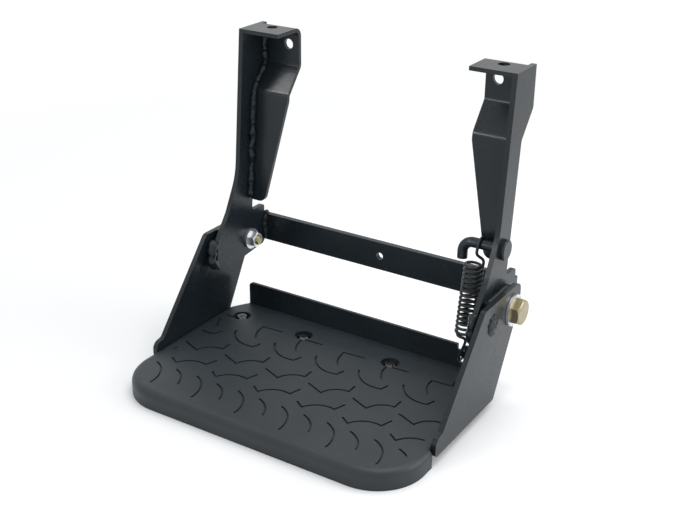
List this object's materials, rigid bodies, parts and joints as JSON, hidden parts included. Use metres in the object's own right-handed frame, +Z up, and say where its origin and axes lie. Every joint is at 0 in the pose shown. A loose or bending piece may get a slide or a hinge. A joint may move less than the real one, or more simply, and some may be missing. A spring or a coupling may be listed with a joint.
{
  "type": "folding side step",
  "caption": "Black steel side step: two bent uprights and a cross bar carry a rubber-topped tread that folds up on side pivots against a tension spring.",
  "frame": {"origin": "midway between the two top bolt holes, on the top face of the flanges", "axes": "+X along the step to its right, +Y to the rear (towards the vehicle), +Z up"},
  "size_m": [0.3446, 0.2475, 0.3185],
  "materials": {
    "black_coat": "satin black powder coat",
    "spring_black": "black coated spring steel",
    "rubber": "matte dark grey moulded rubber",
    "yellow_zinc": "yellow passivated zinc on steel",
    "silver_zinc": "bright zinc on steel",
    "dark_steel": "blackened steel",
    "bush_bronze": "sintered bronze"
  },
  "bodies": {
    "frame": {"cross_bar": "black_coat", "left_back_plate": "black_coat", "left_pivot_bolt": "yellow_zinc", "left_pivot_nut": "silver_zinc", "left_pivot_washer": "silver_zinc", "left_side_plate": "black_coat", "left_stop_lug": "black_coat", "right_back_plate": "black_coat", "right_pivot_bolt": "yellow_zinc", "right_pivot_nut": "silver_zinc", "right_pivot_washer": "silver_zinc", "right_side_plate": "black_coat", "right_stop_lug": "black_coat", "spring": "spring_black", "spring_rod": "black_coat"},
    "step": {"left_arm": "black_coat", "left_pivot_bush": "bush_bronze", "mat_nuts": "silver_zinc", "mat_screws": "dark_steel", "mat_washers": "silver_zinc", "right_arm": "black_coat", "right_pivot_bush": "bush_bronze", "tray": "black_coat", "tread_mat": "rubber"}
  },
  "joints": [
    {"name": "step_fold", "type": "hinge", "parent": "frame", "child": "step", "pos_m": [0, -0.02, -0.226], "axis": [-1, 0, 0], "range_deg": [0, 88], "deforming": ["spring"]}
  ]
}
